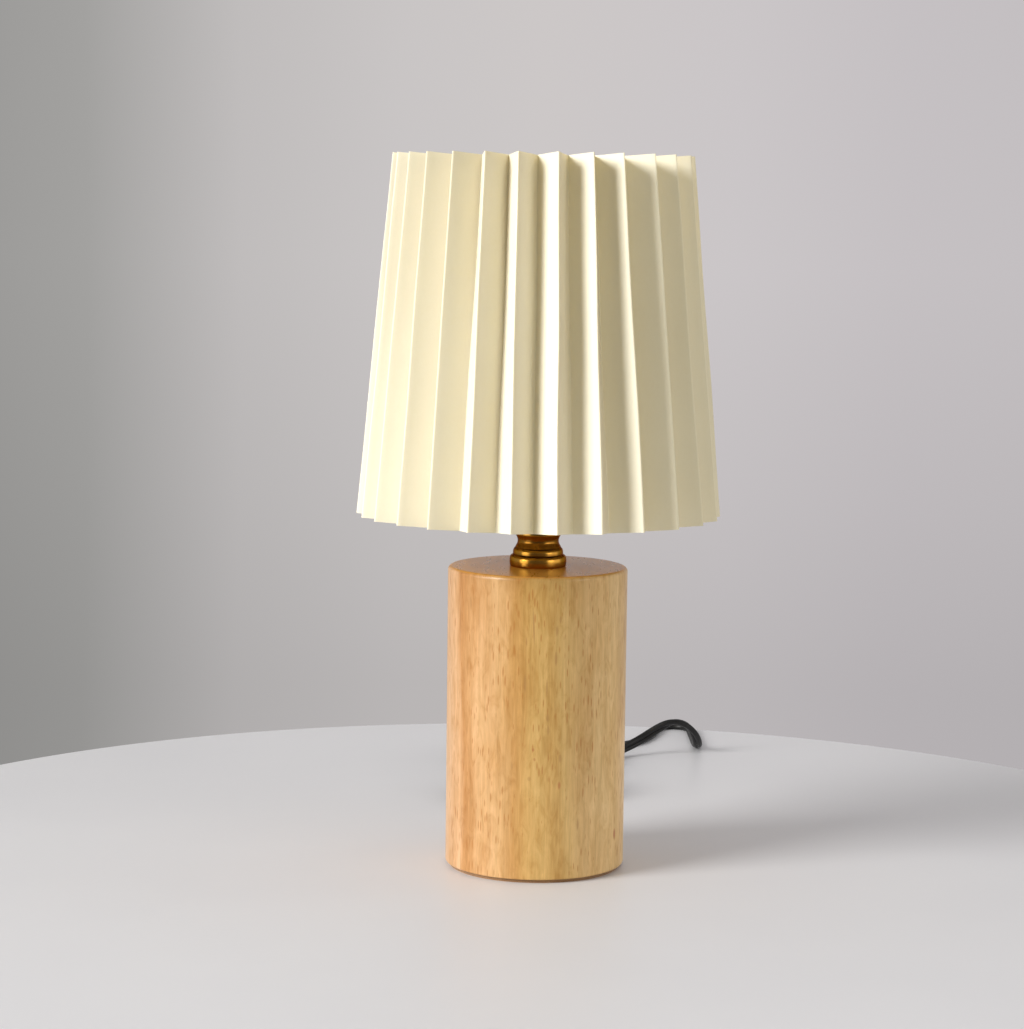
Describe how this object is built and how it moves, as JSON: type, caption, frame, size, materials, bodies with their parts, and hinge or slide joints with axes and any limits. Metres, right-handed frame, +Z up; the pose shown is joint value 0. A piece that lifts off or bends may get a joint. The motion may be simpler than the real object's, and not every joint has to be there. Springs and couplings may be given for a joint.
{
  "type": "table lamp",
  "caption": "Table lamp with a wooden cylinder base, turned brass neck, tapered pleated paper shade and screw-in bulb, on a black cord with rocker switch and plug.",
  "frame": {"origin": "centre of the base pad's underside, on the lamp's axis", "axes": "+Z up along the lamp's axis, -Y the front that the picture shows, +Y the back, where the cord leaves"},
  "size_m": [0.1748, 0.4109, 0.3167],
  "materials": {
    "wood": "satin lacquered light hardwood, straight vertical grain",
    "foot_pad": "soft black foam pad",
    "zinc_steel": "zinc plated",
    "antique_brass": "aged, satin",
    "holder_plastic": "moulded black thermoset",
    "holder_ceramic": "unglazed white",
    "contact_brass": "bare",
    "white_wire": "white coated wire",
    "pleated_paper": "cream, matt, sharp creases",
    "bulb_cap_metal": "bare, bright",
    "bulb_black_glass": "glossy black insulator",
    "bulb_white_plastic": "white moulded",
    "bulb_board": "white board",
    "bulb_frosted": "frosted white dome",
    "cord_black": "black soft vinyl, satin",
    "wire_brown": "vinyl",
    "wire_blue": "vinyl",
    "tie_black": "black hook-and-loop tape",
    "switch_black": "moulded black, fine texture",
    "switch_rocker_plastic": "black, smoother than the housing",
    "plug_black": "moulded black vinyl",
    "plug_metal": "plated blades"
  },
  "bodies": {
    "root": {"wood_base": "wood", "base_pad": "foot_pad", "threaded_tube": "zinc_steel", "rod_nut": "zinc_steel", "rod_washer": "zinc_steel", "rod_lock_washer": "zinc_steel", "brass_neck": "antique_brass", "lampholder_cap": "holder_plastic", "cap_lock_nut": "zinc_steel", "lampholder_body": "holder_plastic", "lampholder_core": "holder_ceramic", "screw_shell": "contact_brass", "centre_contact": "contact_brass", "terminal_screws": "contact_brass", "cord_inner": "cord_black", "wire_live": "wire_brown", "wire_neutral": "wire_blue", "cord_strain_relief": "cord_black", "cord_lead": "cord_black", "cord_switch_tail": "cord_black", "cord_coil": "cord_black", "cord_plug_tail": "cord_black", "coil_tie": "tie_black", "switch_lower_housing": "switch_black", "switch_upper_housing": "switch_black", "switch_rocker_pin": "zinc_steel", "switch_contact_blade": "contact_brass", "switch_terminals": "contact_brass", "switch_screws": "zinc_steel", "plug_body": "plug_black", "plug_blades": "plug_metal"},
    "shade": {"fitter_ring": "white_wire", "shade_spider_arms": "white_wire", "shade_bottom_ring": "white_wire", "shade_top_ring": "white_wire", "shade_pleats": "pleated_paper"},
    "nut_slip_washer": {"ring_nut_washer": "zinc_steel"},
    "ring_nut": {"shade_ring_nut": "holder_plastic"},
    "bulb_carrier": {"bulb_tip_contact": "bulb_cap_metal"},
    "bulb": {"bulb_insulator": "bulb_black_glass", "bulb_screw_cap": "bulb_cap_metal", "bulb_housing": "bulb_white_plastic", "bulb_led_board": "bulb_board", "bulb_diffuser": "bulb_frosted"},
    "rocker": {"switch_rocker": "switch_rocker_plastic"}
  },
  "joints": [
    {"name": "shade_turn", "type": "hinge", "parent": "root", "child": "shade", "pos_m": [0, 0, 0.18125], "axis": [0, 0, 1], "continuous": true},
    {"name": "ring_nut_advance", "type": "slide", "parent": "root", "child": "nut_slip_washer", "axis": [0, 0, 1], "range_m": [0, 0.0113]},
    {"name": "ring_nut_turn", "type": "hinge", "parent": "nut_slip_washer", "child": "ring_nut", "pos_m": [0, 0, 0.1868], "axis": [0, 0, 1], "range_deg": [0, 1620]},
    {"name": "bulb_advance", "type": "slide", "parent": "root", "child": "bulb_carrier", "axis": [0, 0, 1], "range_m": [0, 0.0182]},
    {"name": "bulb_turn", "type": "hinge", "parent": "bulb_carrier", "child": "bulb", "pos_m": [0, 0, 0.2], "axis": [0, 0, 1], "range_deg": [0, 1800]},
    {"name": "switch_rock", "type": "hinge", "parent": "root", "child": "rocker", "pos_m": [-0.022, 0.225, 0.0116], "axis": [1, 0, 0], "range_deg": [0, 18]}
  ],
  "couplings": [
    {"joint": "ring_nut_advance", "follows": "ring_nut_turn", "m_per_rad": 0.00039789},
    {"joint": "bulb_advance", "follows": "bulb_turn", "m_per_rad": 0.0005775}
  ]
}
